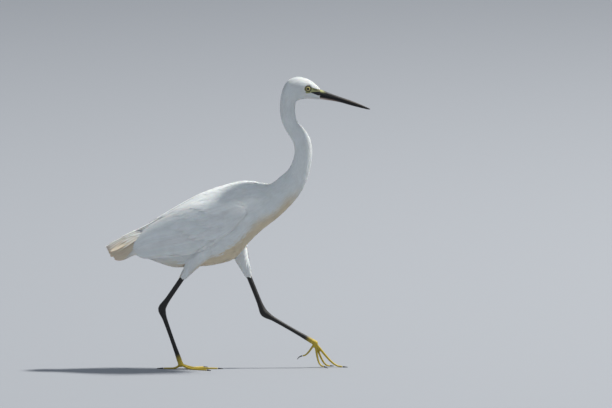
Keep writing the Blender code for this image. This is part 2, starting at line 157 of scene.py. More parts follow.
# Folded wing: first and last (t, b) of a row's roots, the same of its tips, number of feathers, width,
# heights over the bed at root and tip, points along a feather, lean of the shaft, tip's start, looseness
WING_ROWS = [
    ((6.4, 0.88), (6.0, 0.60), (0.12, 0.55), (2.9, 0.45), 8, 10.5, (0.0, 0.35), 16, 0.3, 0.78, 0.02),
    ((9.9, 0.96), (7.4, 0.40), (2.9, 0.95), (2.2, 0.36), 15, 11.5, (0.1, 0.8), 16, 0.3, 0.84, 0.03),
    ((7.4, 0.40), (6.2, 0.0), (2.1, 0.40), (4.1, 0.02), 8, 14.0, (0.5, 1.15), 14, 0.15, 0.7, 0.04),
    ((11.2, 0.94), (7.6, 0.12), (8.4, 0.99), (4.8, 0.2), 20, 11.5, (0.3, 1.15), 12, 0.2, 0.55, 0.1),
    ((11.5, 0.88), (8.2, 0.06), (9.5, 0.95), (5.9, 0.12), 21, 10.0, (0.5, 1.4), 11, 0.15, 0.5, 0.12),
    ((11.7, 0.84), (8.8, 0.02), (10.2, 0.91), (6.9, 0.06), 22, 8.5, (0.6, 1.5), 10, 0.1, 0.45, 0.12),
]
# Tail, its upper and its lower coverts: number, points along a feather, spread, end along the TAIL table,
# width, heights over the ridge at root and tip, drop and breadth of the arch, closeness of the roots,
# tip's start, raggedness
TAIL_ROWS = [
    (12, 14, 0.93, 5.0, 12.5, (-0.8, -0.6), 1.0, 1.0, 0.5, 0.8, 0.05),
    (13, 10, 0.97, 2.7, 9.5, (0.0, 0.3), 1.0, 1.0, 0.7, 0.45, 0.3),
    (12, 9, 0.97, 1.7, 9.0, (0.5, 0.7), 1.0, 1.0, 0.75, 0.45, 0.3),
    (9, 12, 1.0, 3.7, 9.0, (-4.0, -3.5), 1.05, 0.6, 0.9, 0.5, 0.3),
    (9, 11, 1.0, 3.0, 9.0, (-9.0, -7.5), 1.0, 0.6, 0.9, 0.5, 0.3),
    (9, 10, 1.0, 2.4, 9.0, (-15.0, -12.0), 0.9, 0.62, 0.9, 0.5, 0.3),
]
# Cape over the rump: first x, last x, half width of the row, width, height over the bed
CAPE_ROWS = [(-84, -163, 9.5, 13.0, 0.9), (-72, -148, 10.0, 12.0, 1.3), (-62, -132, 11.0, 11.0, 1.6)]
CAPE_COUNT, CAPE_POINTS = 9, 12
CAPE_REACH = 3.5  # how far to each side the cape looks for the higher wing at the midline
WING_ROLL, TAIL_ROLL, SIDE_ROLL = 0.5, 0.45, 0.4  # how far a feather's lower edge stands over the next
SHAFT_RIDGE = 0.2
BAKE_PATCH = 0.003

# Colours are linear.
WHITE = (0.78, 0.78, 0.765)
# painted shade: a warm buff for the shade and warm reflected or shining-through light under the body and the
# tail, with some real soiling on the belly
SHADE_AND_SOIL_BUFF = (0.70, 0.55, 0.36)
LORE = (0.36, 0.37, 0.17)
LORE_DARK = (0.075, 0.068, 0.035)
LID_DARK = (0.045, 0.042, 0.018)
LID_EDGE = (0.045, 0.048, 0.022)
HORN_BLACK = (0.012, 0.012, 0.013)
HORN_WORN = (0.09, 0.07, 0.05)
HORN_PALE = (0.21, 0.15, 0.13)
HORN_ROOT = (0.52, 0.45, 0.40)
CLAW_HORN = (0.022, 0.019, 0.016)
LEG_BLACK = (0.011, 0.0105, 0.010)
TOE_YELLOW = (0.50, 0.37, 0.035)
FLOOR_GREY = (0.27, 0.288, 0.316)
SKY = (0.80, 0.88, 1.0)
# Pupil, inner ring, iris and dark rim, by the distance from the eye's middle as a share of the lid's
EYE_STOPS = [
    (0.0, (0.002, 0.002, 0.002)), (0.47, (0.003, 0.003, 0.002)), (0.51, (0.24, 0.18, 0.05)),
    (0.62, (0.50, 0.43, 0.16)), (0.84, (0.44, 0.39, 0.16)), (0.95, (0.05, 0.045, 0.02)),
]

# Studio: place and size in metres, power in watts, colour
LAMPS = {
    "key": ((7.3, 2.1, 11.8), 1.5, 3200.0, (1.0, 0.965, 0.91)),
    "fill": ((-2.4, -5.2, 3.2), 4.8, 32.0, (0.9, 0.95, 1.0)),
}
LAMP_AIM = (0, 0, 0.25)
SKY_STRENGTH = 0.42
FLOOR_REACH = 60.0  # metres


# Small helpers

def row_at(rows, t):
    """The table's row at t, which counts rows from 0, on a smooth curve. t may be an array."""
    rows = np.asarray(rows, float)
    t = np.clip(np.asarray(t, float), 0, len(rows) - 1)
    i = np.minimum(t.astype(int), len(rows) - 2)
    f = (t - i)[..., None]
    a, b = rows[i], rows[i + 1]
    before = np.where((i > 0)[..., None], rows[np.maximum(i - 1, 0)], 2 * a - b)
    after = np.where((i + 2 < len(rows))[..., None], rows[np.minimum(i + 2, len(rows) - 1)], 2 * b - a)
    slope_a, slope_b = (b - before) / 2, (after - a) / 2
    ends = a * (2 * f**3 - 3 * f**2 + 1) + b * (3 * f**2 - 2 * f**3)
    return ends + slope_a * (f**3 - 2 * f**2 + f) + slope_b * (f**3 - f**2)


def column_at(table, x, column):
    """One column of a table at x, its first column, on straight lines."""
    rows = np.array(sorted(table))
    return np.interp(x, rows[:, 0], rows[:, column])


def unit(v):
    return v / np.maximum(np.linalg.norm(v, axis=-1, keepdims=True), 1e-12)


def smoothstep(low, high, x):
    f = np.clip((x - low) / (high - low), 0, 1)
    return f * f * (3 - 2 * f)


def band(x, start, full, last, end):
    """1 from full to last, 0 before start and after end."""
    return smoothstep(start, full, x) * smoothstep(end, last, x)


def mix(a, b, f):
    return np.asarray(a) * (1 - f) + np.asarray(b) * f


def read(items, name, width, kind=float):
    """An attribute of all the items of a mesh, as an array with so many columns."""
    values = np.empty(len(items) * width, kind)
    items.foreach_get(name, values)
    return values.reshape(-1, width)


def add_object(name, data):
    obj = bpy.data.objects.new(name, data)
    bpy.context.scene.collection.objects.link(obj)
    return obj


def mesh_of(name, verts, faces):
    """A smooth mesh from arrays of points in millimetres and of quads or triangles."""
    mesh = bpy.data.meshes.new(name)
    verts, faces = np.asarray(verts, float), np.asarray(faces, int)
    mesh.vertices.add(len(verts))
    mesh.vertices.foreach_set("co", (verts * MM).ravel())
    mesh.loops.add(faces.size)
    mesh.loops.foreach_set("vertex_index", faces.ravel())
    mesh.polygons.add(len(faces))
    mesh.polygons.foreach_set("loop_start", np.arange(0, faces.size, faces.shape[1]))
    mesh.update(calc_edges=True)
    mesh.validate()
    mesh.shade_smooth()
    return mesh


@contextmanager
def editing(mesh, *sources):
    """The mesh, or the sources together, to edit; written to the mesh at the end."""
    shape = bmesh.new()
    for source in sources or (mesh,):
        shape.from_mesh(source)
    yield shape
    shape.to_mesh(mesh)
    shape.free()


def closed(name, verts, faces):
    """A smooth mesh with its holes filled and its faces turned outwards."""
    mesh = mesh_of(name, verts, faces)
    with editing(mesh) as shape:
        bmesh.ops.holes_fill(shape, edges=shape.edges, sides=0)
        bmesh.ops.recalc_face_normals(shape, faces=shape.faces)
    mesh.shade_smooth()
    return mesh


def ring_quads(count, sides, joined=False):
    """Quads between rings of points; joined also ties the last ring to the first."""
    i, k = np.meshgrid(np.arange(count if joined else count - 1), np.arange(sides), indexing="ij")
    following, beside = (i + 1) % count, (k + 1) % sides
    corners = (i * sides + k, i * sides + beside, following * sides + beside, following * sides + k)
    return np.stack(corners, -1).reshape(-1, 4)


def tube(name, rings, joined=False):
    """A closed mesh over rings of points, shape (ring, point, 3)."""
    count, sides, _ = rings.shape
    return closed(name, rings.reshape(-1, 3), ring_quads(count, sides, joined))


def vertex_points(mesh):
    return read(mesh.vertices, "co", 3) / MM


def move_vertices(mesh, points):
    mesh.vertices.foreach_set("co", (points * MM).ravel())
    mesh.update()


def vertex_normals(mesh):
    return read(mesh.vertex_normals, "vector", 3)


def triangles_of(mesh):
    mesh.calc_loop_triangles()
    return read(mesh.loop_triangles, "vertices", 3, int)


def paint(mesh, name, values):
    """Stores a colour, or a number, for each vertex."""
    values = np.asarray(values, float)
    if values.ndim == 1:
        mesh.attributes.new(name, "FLOAT", "POINT").data.foreach_set("value", values)
        return
    rgba = np.ones((len(values), 4))
    rgba[:, :3] = values
    mesh.attributes.new(name, "FLOAT_COLOR", "POINT").data.foreach_set("color", rgba.ravel())


def distances_to(names, points):
    """How far each point is from the named solids."""
    verts, faces = [], []
    for name in names:
        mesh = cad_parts[name].data
        base = len(verts)
        verts += [v.co / MM for v in mesh.vertices]
        faces += [[base + i for i in polygon.vertices] for polygon in mesh.polygons]
    tree = BVHTree.FromPolygons(verts, faces)
    return np.array([tree.find_nearest(point)[3] for point in points.tolist()])


def groups_of(points):
    """Each point's nearest group of solids, as its place in GROUPS."""
    members = [*FLESH.values(), VANES_ONLY]
    return np.stack([distances_to(names, points) for names in members], 1).argmin(1)


def is_in(label, group):
    return label == GROUPS.index(group)


# Where a point lies on the body

AXIS_POINTS = np.array([(x, 0, z) for x, z in AXIS], float)
AXIS_STEPS = AXIS_POINTS[1:] - AXIS_POINTS[:-1]
AXIS_LENGTHS = np.linalg.norm(AXIS_STEPS, axis=1)
AXIS_STARTS = np.concatenate([[0], np.cumsum(AXIS_LENGTHS)])
AXIS_TANGENTS = unit(np.gradient(AXIS_POINTS, axis=0))


def on_axis(points):
    """Distance along the middle line, its direction there, and the angle round it, 0 at the top."""
    flat = points * (1, 0, 1)
    offset = flat[:, None, :] - AXIS_POINTS[None, :-1]
    f = np.clip((offset * AXIS_STEPS).sum(2) / AXIS_LENGTHS**2, 0, 1)
    foot = AXIS_POINTS[None, :-1] + f[..., None] * AXIS_STEPS
    best = np.linalg.norm(flat[:, None, :] - foot, axis=2).argmin(1)
    row = np.arange(len(points))
    share = f[row, best]
    along = AXIS_STARTS[best] + share * AXIS_LENGTHS[best]
    direction = unit(mix(AXIS_TANGENTS[best], AXIS_TANGENTS[best + 1], share[:, None]))
    up = np.stack([direction[:, 2], 0 * share, -direction[:, 0]], 1)
    out = points - foot[row, best]
    return along, direction, np.arctan2(out[:, 1], (out * up).sum(1))


def leg_direction(side):
    knee, bare = np.array(LEGS[side][0]), np.array(LEGS[side][1])
    return unit(bare - knee)


def lie_of(points, in_thigh):
    """The way the feathers lie: tailwards along the body, and down the thighs."""
    _, direction, _ = on_axis(points)
    for side in (RIGHT, LEFT):
        down = leg_direction(side) + np.array([-0.25, 0, 0])
        share = in_thigh * (points[:, 1] * side > 0) * smoothstep(182, 160, points[:, 2])
        direction = mix(direction, down[None], share[:, None])
    return direction


def wing_points(t, b):
    """Side-view places on the folded wing: t runs from tip to wrist, b from the upper to the lower edge."""
    rows = row_at(WING, t)
    return mix(rows[..., :2], rows[..., 2:], np.asarray(b)[..., None])


def wing_place(points):
    """The t and b of points on the folded wing."""
    table = np.array(WING)
    t = np.interp(points[:, 0], (table[:, 0] + table[:, 2]) / 2, np.arange(len(table), dtype=float))
    rows = row_at(WING, t)
    return t, (rows[:, 1] - points[:, 2]) / (rows[:, 1] - rows[:, 3])


def wing_lie(points, _):
    """The way the feathers lie on the folded wing, towards its tip."""
    t, b = wing_place(points)
    b = np.clip(b, 0, 1)
    step = wing_points(np.clip(t - 1.2, 0, 12), b) - wing_points(t, b)
    return unit(np.stack([step[:, 0], 0 * b, step[:, 1]], 1) + 1e-6)


def unwrap(points, in_thigh):
    """Places on a flat unwrapping of the body: its length one way, the way round it the other."""
    along, _, angle = on_axis(points)
    place = np.stack([0.01 + 0.98 * along / AXIS_STARTS[-1], 0.01 + 0.74 * (angle / (2 * math.pi) + 0.5)], 1)
    for side, strip in ((RIGHT, 0.78), (LEFT, 0.89)):
        down = leg_direction(side)
        offset = points - np.array(LEGS[side][0])
        length = np.clip(0.15 + (offset * down).sum(1) / 120, 0.01, 0.99)
        turn = np.arctan2(offset[:, 1], (offset * np.array([down[2], 0, -down[0]])).sum(1))
        leg_place = np.stack([length, strip + 0.1 * (turn / (2 * math.pi) + 0.5)], 1)
        here = in_thigh.astype(bool) & (points[:, 1] * side > 0)
        place[here] = leg_place[here]
    return place


def tone_of(points):
    """Plumage colour: white, with a warm buff painted on the tail, the belly and the sides of the breast as
    their shade and warm reflected light; on the belly partly real soiling.
    """
    x, y, z = points.T
    along, _, angle = on_axis(points)
    under = smoothstep(1.75, 2.7, np.abs(angle))
    breast = under * band(along, *BREAST_SHADE_BAND)
    belly = under * band(x, *BELLY_SHADE_AND_SOIL_BAND)
    tail = smoothstep(*TAIL_SHADE_RAMP, x) * smoothstep(-0.15, 0.85, np.abs(angle))
    over_keel = z - column_at(KEEL, x, 1)
    off_middle = np.abs(y) + 0.5 * np.maximum(6 - over_keel, 0)
    on_trunk = smoothstep(-5, 0, over_keel) * smoothstep(30, 21, off_middle)
    ahead_of_thigh = np.array(LEGS[LEFT][0]) + (12, 0, 4)
    to_thigh = np.linalg.norm(np.cross(points - ahead_of_thigh, leg_direction(LEFT)), axis=1)
    on_trunk *= mix(smoothstep(17, 30, to_thigh), 1, smoothstep(14, 6, y))
    mottle = 0.5 + 0.5 * np.sin(x * 0.21 + 1.3 * np.sin(z * 0.17)) * np.sin(z * 0.13 + y * 0.2)
    # painted shade: buff where the underside and the tail lie in shade, mixed with some real soiling on the
    # belly
    shade_and_soil = (0.9 * breast + belly * (0.65 + 0.35 * mottle)) * on_trunk + 0.8 * tail
    return mix(WHITE, SHADE_AND_SOIL_BUFF, np.clip(shade_and_soil, 0, 0.9)[:, None])


# Materials

def new_material(name, roughness, specular=0.5, **values):
    """A material with its node tree and shader."""
    made = bpy.data.materials.new(name)
    made.use_nodes = True
    shader = made.node_tree.nodes["Principled BSDF"]
    shader.inputs["Roughness"].default_value = roughness
    shader.inputs["Specular IOR Level"].default_value = specular
    for key, value in values.items():
        shader.inputs[key.replace("_", " ")].default_value = value
    return made, made.node_tree, shader


def node(tree, kind, links=(), **settings):
    """A node with its settings, and links given as (input name or index, output socket or value)."""
    made = tree.nodes.new(kind)
    for key, value in settings.items():
        setattr(made, key, value)
    for where, what in links:
        if isinstance(what, bpy.types.NodeSocket):
            tree.links.new(what, made.inputs[where])
        else:
            made.inputs[where].default_value = what
    return made


def maths(tree, operation, *values):
    return node(tree, "ShaderNodeMath", list(enumerate(values)), operation=operation).outputs[0]


def stored(tree, name, kind="Color"):
    """What is stored on the vertices under a name."""
    return node(tree, "ShaderNodeAttribute", attribute_name=name).outputs[kind]


def place_on(tree):
    return node(tree, "ShaderNodeTexCoord").outputs["Object"]


def between(tree, value, from_low, from_high, low, high):
    """The value's range turned into the one from low to high."""
    names = ("Value", "From Min", "From Max", "To Min", "To Max")
    return node(tree, "ShaderNodeMapRange", zip(names, (value, from_low, from_high, low, high))).outputs[0]


def noise(tree, scale, detail, vector):
    links = [("Scale", scale), ("Detail", detail), ("Vector", vector)]
    return node(tree, "ShaderNodeTexNoise", links).outputs["Fac"]


def bump(tree, shader, height, strength, distance):
    links = [("Height", height), ("Strength", strength), ("Distance", distance * MM)]
    tree.links.new(node(tree, "ShaderNodeBump", links).outputs["Normal"], shader.inputs["Normal"])


def tint(tree, shader, colour, shade):
    """The base colour: the given one, darker or lighter by a factor that varies over the surface."""
    made = node(tree, "ShaderNodeVectorMath", [(0, colour), ("Scale", shade)], operation="SCALE")
    tree.links.new(made.outputs[0], shader.inputs["Base Color"])


def feather_material(name, barbs, barb_strength):
    """White feather with barbs that slant off its shaft. The vane map holds the place across and along."""
    made, tree, shader = new_material(name, 0.62, 0.35, Subsurface_Weight=0.12, Subsurface_Scale=0.004,
                                      Sheen_Weight=0.15)
    vane = stored(tree, "vane", "Vector")
    split = node(tree, "ShaderNodeSeparateXYZ", [(0, vane)])
    across = maths(tree, "ABSOLUTE", maths(tree, "SUBTRACT", split.outputs[0], 0.5))
    slant = maths(tree, "SUBTRACT", split.outputs[1], maths(tree, "MULTIPLY", across, 0.35))
    barb = maths(tree, "SINE", maths(tree, "MULTIPLY", slant, barbs))
    barb = maths(tree, "MULTIPLY", barb, maths(tree, "ADD", noise(tree, 5.0, 2.0, vane), 0.3))
    shaft = maths(tree, "SUBTRACT", 1.0, maths(tree, "MINIMUM", maths(tree, "MULTIPLY", across, 16.0), 1.0))
    height = maths(tree, "ADD", barb, maths(tree, "MULTIPLY", shaft, 1.5))
    bump(tree, shader, height, barb_strength, 0.12)
    cloud = noise(tree, 60.0, 4.0, place_on(tree))
    tint(tree, shader, stored(tree, "tone"), between(tree, cloud, 0.3, 0.7, 0.93, 1.03))
    return made


def skin_material():
    """Plumage underlayer, bare lores, and scaled legs, told apart by what is stored on the vertices."""
    made, tree, shader = new_material("skin", 0.5, 0.4)
    scaly, along = stored(tree, "scaly", "Fac"), stored(tree, "along", "Fac")
    place = place_on(tree)
    wobble = maths(tree, "MULTIPLY", noise(tree, 300.0, 2.0, place), 0.35)
    saw = maths(tree, "FRACT", maths(tree, "ADD", maths(tree, "MULTIPLY", along, 1 / SCUTE_LENGTH), wobble))
    groove = maths(tree, "MINIMUM", maths(tree, "MULTIPLY", saw, 7.0),
                   maths(tree, "MULTIPLY", maths(tree, "SUBTRACT", 1.0, saw), 3.5))
    plate = maths(tree, "MINIMUM", groove, 1.0)
    cells = node(tree, "ShaderNodeTexVoronoi", [("Vector", place), ("Scale", 620.0)],
                 feature="DISTANCE_TO_EDGE").outputs["Distance"]
    scale_edge = maths(tree, "MINIMUM", maths(tree, "MULTIPLY", cells, 6.0), 1.0)
    scale_edge = maths(tree, "MULTIPLY", scale_edge, 0.35)
    relief = maths(tree, "ADD", maths(tree, "MULTIPLY", plate, 0.8), scale_edge)
    soft = noise(tree, 900.0, 3.0, place)
    height = node(tree, "ShaderNodeMix", [("Factor", scaly), ("A", soft), ("B", relief)], data_type="FLOAT")
    bump(tree, shader, height.outputs[0], 0.55, 0.28)
    # painted shade: the base colour is made darker in the grooves between the scutes
    groove_shade = maths(tree, "MULTIPLY", scaly, maths(tree, "SUBTRACT", 1.0, plate))
    in_grooves = maths(tree, "SUBTRACT", 1.0, maths(tree, "MULTIPLY", groove_shade, 0.45))
    cloud = maths(tree, "ADD", 0.82, maths(tree, "MULTIPLY", noise(tree, 110.0, 4.0, place), 0.36))
    tint(tree, shader, stored(tree, "tone"), maths(tree, "MULTIPLY", in_grooves, cloud))
    return made


def bill_material():
    """Dark horn with a grain that runs along the bill."""
    made, tree, shader = new_material("bill_horn", 0.45, 0.22)
    mapping = node(tree, "ShaderNodeMapping", [("Vector", place_on(tree)), ("Scale", (60, 500, 500))])
    grain = noise(tree, 2.0, 4.0, mapping.outputs[0])
    bump(tree, shader, grain, 0.25, 0.12)
    tree.links.new(between(tree, grain, 0.0, 1.0, 0.36, 0.56), shader.inputs["Roughness"])
    tint(tree, shader, stored(tree, "tone"), maths(tree, "ADD", 0.75, maths(tree, "MULTIPLY", grain, 0.5)))
    return made


def grained_material(name, colour, roughness, grain_scale, grain_depth):
    made, tree, shader = new_material(name, roughness)
    grain = noise(tree, grain_scale, 4.0, place_on(tree))
    bump(tree, shader, grain, 0.3, grain_depth)
    tint(tree, shader, colour, maths(tree, "ADD", 0.8, maths(tree, "MULTIPLY", grain, 0.4)))
    return made


def eye_material():
    """Black pupil, pale yellow iris with a dark rim and fine spokes, under a clear wet surface."""
    made, tree, shader = new_material("eye", 0.05)
    split = node(tree, "ShaderNodeSeparateXYZ", [(0, place_on(tree))])
    x, z = split.outputs[0], split.outputs[2]
    flat = node(tree, "ShaderNodeCombineXYZ", [(0, x), (1, z)]).outputs[0]
    reach = node(tree, "ShaderNodeVectorMath", [(0, flat)], operation="LENGTH").outputs["Value"]
    reach = maths(tree, "DIVIDE", reach, LID_RADIUS * MM)
    turn = maths(tree, "MULTIPLY", maths(tree, "ARCTAN2", z, x), 9.0)
    ray = node(tree, "ShaderNodeCombineXYZ", [(0, turn), (1, reach)]).outputs[0]
    spokes = maths(tree, "MULTIPLY", maths(tree, "SUBTRACT", noise(tree, 1.0, 3.0, ray), 0.5), 0.09)
    ramp = node(tree, "ShaderNodeValToRGB", [(0, maths(tree, "ADD", reach, spokes))])
    while len(ramp.color_ramp.elements) < len(EYE_STOPS):
        ramp.color_ramp.elements.new(0.5)
    for element, (where, colour) in zip(ramp.color_ramp.elements, EYE_STOPS):
        element.position = where
        element.color = (*colour, 1)
    tree.links.new(ramp.outputs["Color"], shader.inputs["Base Color"])
    return made


def finish_piece(name, mesh, material, slot, *nodes):
    """Makes the mesh a piece of the model, which stands for the named nodes."""
    obj = add_object(name, mesh)
    mesh.materials.clear()
    mesh.materials.append(material)
    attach(obj, "root")
    if nodes:
        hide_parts(*nodes)
    return obj


# Skin

def one_surface(names, extra, voxel, rounds, kept):
    """The named solids, each a little larger so that they run together, as one even mesh."""
    mesh = bpy.data.meshes.new("swollen")
    with editing(mesh, *(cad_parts[name].data for name in names), *extra) as shape:
        bmesh.ops.remove_doubles(shape, verts=shape.verts, dist=WELD * MM)
        shape.normal_update()
        bmesh.ops.recalc_face_normals(shape, faces=shape.faces)
        for vert in shape.verts:
            vert.co += vert.normal * SWELL * MM
    rough = add_object("swollen", mesh)
    remesh = rough.modifiers.new("one skin", "REMESH")
    remesh.mode = "VOXEL"
    remesh.voxel_size = voxel * MM
    even = rough.modifiers.new("even", "SMOOTH")
    even.factor, even.iterations = 0.5, rounds
    if kept < 1:
        rough.modifiers.new("thin out", "DECIMATE").ratio = kept
    graph = bpy.context.evaluated_depsgraph_get()
    made = bpy.data.meshes.new_from_object(rough.evaluated_get(graph))
    bpy.data.objects.remove(rough)
    return made


class Neighbours:
    """Means over each vertex's neighbours."""

    def __init__(self, mesh):
        self.a, self.b = read(mesh.edges, "vertices", 2, int).T
        self.size = len(mesh.vertices)
        self.count = self.total(np.ones(self.size))

    def total(self, values):
        a, b, size = self.a, self.b, self.size
        return np.bincount(a, values[b], size) + np.bincount(b, values[a], size)

    def mean(self, values):
        return self.total(values) / self.count

    def soften(self, values, rounds, weight):
        for _ in range(rounds):
            for k in range(values.shape[1]):
                values[:, k] = mix(values[:, k], self.mean(values[:, k]), weight)
        return values


def make_bed():
    """The surface that the closed coat makes, with the step at the wing's upper edge filled."""
    names = [name for group in FLESH if group != "feet" for name in FLESH[group]] + VANES_ONLY
    mesh = one_surface(names, [], BED_VOXEL, 4, 1)
    points = vertex_points(mesh)
    x, _, z = points.T
    to_edge = (z - column_at(WING, x, 1)) / 10.0
    edge = np.exp(-(to_edge**2)) * band(x, -175, -150, 8, 22)
    move_vertices(mesh, Neighbours(mesh).soften(points, 60, np.clip(0.8 * edge, 0, 1)))
    return mesh


def bill_core():
    """The root of the bill inside the face, which makes the skin run out onto the horn."""
    turn = np.arange(16) * math.pi / 8
    rings = []
    for x, t, scale in BILL_CORE:
        _, culmen, _, gonys, half = row_at(BILL, t)
        height = (culmen - gonys) / 2
        z = gonys + height + height * scale * np.sin(turn)
        rings.append((x + 0 * turn, half * scale * np.cos(turn), z))
    return tube("bill_core", np.array(rings).transpose(0, 2, 1))


def finer_face(mesh):
    """Smaller faces round the eyes and lores, where the colours have sharp edges."""
    low, high = Vector(FACE_LOW) * MM, Vector(FACE_HIGH) * MM
    with editing(mesh) as shape:
        edges = [edge for edge in shape.edges
                 if all(low[i] < vert.co[i] < high[i] for vert in edge.verts for i in range(3))]
        bmesh.ops.subdivide_edges(shape, edges=edges, cuts=1, smooth=0.6)
        bmesh.ops.triangulate(shape, faces=shape.faces)


def thickness(mesh, points, normals):
    """How far it is from each vertex straight through the body to its other side."""
    tree = BVHTree.FromPolygons(points.tolist(), triangles_of(mesh).tolist())
    start, most, open_air = 0.05, 12.0, 100.0
    through = np.full(len(points), open_air)
    for i, (point, inward) in enumerate(zip((points - normals * start).tolist(), (-normals).tolist())):
        hit = tree.ray_cast(point, inward, most)
        if hit[0] is not None:
            through[i] = hit[3] + start
    return through


def skin_depth(mesh, points, normals, label):
    """How far under the swollen solids the skin lies: the coat's depth, or less where the body is thin."""
    on_head = is_in(label, "head")
    depth = np.array([COAT_DEPTH[group] for group in GROUPS])[label]
    depth[is_bald(points, on_head)] = BALD_DEPTH
    depth = np.where(on_head & (points[:, 0] > FACE_FRONT), HORN_DEPTH, depth + SWELL)
    near = Neighbours(mesh)
    for _ in range(6):
        depth = mix(depth, near.mean(depth), 0.5)
    depth = np.minimum(depth, THIN_SHARE * thickness(mesh, points, normals))
    for _ in range(2):
        depth = np.minimum(depth, mix(depth, near.mean(depth), 0.5))
    return depth


def make_skin():
    names = sum(FLESH.values(), [])
    mesh = one_surface(names, [bill_core()], VOXEL, 5, SKIN_KEPT)
    mesh.name = "skin"
    finer_face(mesh)
    mesh.shade_smooth()
    points, normals = vertex_points(mesh), vertex_normals(mesh)
    label = groups_of(points)
    points -= normals * skin_depth(mesh, points, normals, label)[:, None]
    move_vertices(mesh, points)

    is_foot, on_head = is_in(label, "feet"), is_in(label, "head")
    leggy = is_in(label, "bare") | is_foot
    colour = tone_of(points)
    to_foot = np.minimum(*(np.linalg.norm(points - np.array(LEGS[side][3]), axis=1) for side in LEGS))
    yellow = np.where(is_foot, 1.0, 0.75 * smoothstep(19, 9, to_foot))
    colour[leggy] = mix(LEG_BLACK, TOE_YELLOW, yellow[leggy, None])
    colour[on_head] = paint_face(points[on_head], colour[on_head])
    paint(mesh, "tone", colour)
    paint(mesh, "scaly", leggy.astype(float))
    paint(mesh, "along", along_leg(points))
    finish_piece("skin", mesh, skin_material(), "plumage", *names)


def along_leg(points):
    """Distance down the leg's bones, for the scutes that cross them; on the toes, from the foot joint."""
    result = np.zeros(len(points))
    for side, joints in LEGS.items():
        here = points[:, 1] * side > 0
        _, bare, ankle, foot = (np.array(joint) for joint in joints)
        best = np.full(len(points), np.inf)
        start = 0.0
        for a, b in ((bare, ankle), (ankle, foot)):
            step = b - a
            length = np.linalg.norm(step)
            f = np.clip(((points - a) @ step) / length**2, 0, 1)
            gap = np.linalg.norm(points - (a + f[:, None] * step), axis=1)
            closer = here & (gap < best)
            result[closer] = (start + f * length)[closer]
            best = np.minimum(best, gap)
            start += length
        reach = np.linalg.norm(points - foot, axis=1)
        on_toe = here & (best > 5.0) & (reach < 80) & (points[:, 2] < foot[2] + 4)
        result[on_toe] = (start + reach)[on_toe]
    return result


def face_place(points, back=FACE_BACK):
    """x, z, and how far forward each point lies on the face: 0 at the back, 1 at the horn."""
    return points[:, 0], points[:, 2], (points[:, 0] - back) / (FACE_FRONT - back)


def line_at(line, front):
    """Height of a line across the face."""
    start, fall = line
    return start - fall * front


def from_eye(x, z):
    """Distance from the eye in the side view, a little drawn out lengthwise."""
    return np.hypot((x - EYE_CENTRE[0]) / 1.06, z - EYE_CENTRE[2])


def lore_share(points):
    """1 on the bare skin between the eye and the bill, round the eye and a little way under it, 0 off it."""
    x, z, front = face_place(points)
    patch = np.minimum(np.minimum(line_at(LORE_TOP, front) - z, z - line_at(LORE_LOW, front)), x - 112)
    ring = 5.5 - from_eye(x, z)
    under_eye = 3.0 * (1 - np.hypot((x - 113.5) / 5.2, (z - 444.3) / 2.8))
    return smoothstep(-0.45, 0.45, np.maximum(np.maximum(patch, ring), under_eye))


def gape_share(points):
    """1 on the black edge of the bill's root, which narrows to a corner under the eye, 0 off it."""
    x, z, front = face_place(points, GAPE_BACK)
    front = np.clip(front, 0, 1)
    half = 0.5 + 3.7 * front**0.8
    return smoothstep(-0.4, 0.4, np.minimum(half - np.abs(z - line_at(GAPE, front)), x - GAPE_BACK))


def is_bald(points, on_head):
    return on_head & (np.maximum(lore_share(points), gape_share(points)) > 0.5)


def paint_face(points, colour):
    """Yellowish green bare skin with an olive streak, dark round the eye, and the bill's black corner."""
    x, z, front = face_place(points)
    streak = np.exp(-(((z - line_at(STREAK, front)) / 1.2) ** 2)) * smoothstep(118, 123, x)
    bare = mix(LORE, LORE_DARK, streak[:, None])
    bare = mix(bare, LID_DARK, 0.85 * smoothstep(5.7, 4.4, from_eye(x, z))[:, None])
    colour = mix(colour, bare, lore_share(points)[:, None])
    return mix(colour, HORN_BLACK, gape_share(points)[:, None])


# Feathers

def strips(centres, normals, halfs, bend, ridge, roll, lean, columns):
    """Vanes as (vane, row, column) points and the normals they are shaded with.

    bend is one over the radius that they bend round, ridge lifts the shaft, roll lifts one edge and sinks
    the other, and lean shifts the shaft sideways."""
    tangents = unit(np.gradient(centres, axis=1))
    sides = unit(np.cross(tangents, normals))
    across = np.linspace(-1, 1, columns)[None, None, :]
    offset = halfs[:, :, None] * (across + lean * (1 - across**2))
    bend, ridge, roll = (np.asarray(value, float).reshape(-1, 1, 1) for value in (bend, ridge, roll))
    lift = ridge * (1 - np.abs(across)) ** 2 + roll * across - 0.5 * bend * offset**2
    centres, normals, sides = centres[:, :, None], normals[:, :, None], sides[:, :, None]
    points = centres + sides * offset[..., None] + normals * lift[..., None]
    return points, unit(normals + sides * (bend * offset)[..., None])


def long_row(centres, normals, halfs, bend, roll, lean=0.0):
    """A row of long feathers with their bake places and tones."""
    points, shaded = strips(centres, normals, halfs, bend, SHAFT_RIDGE, roll, lean, 5)
    count, rows, _ = centres.shape
    return points, shaded, unwrap(centres[:, 0], np.zeros(count)), tone_of(centres[:, rows // 2])


def tip_profile(rows, root, tip_start, tip_end=0.12):
    """Half width along a vane as a share of its widest."""
    f = np.linspace(0, 1, rows)
    open_up = np.clip(root + (1 - root) * np.sqrt(np.clip(f / 0.25, 0, 1)), 0, 1)
    close = np.sqrt(np.clip(1 - (np.clip(f - tip_start, 0, 1) / (1 - tip_start)) ** 2, 0, 1))
    return np.maximum(open_up * close, tip_end)


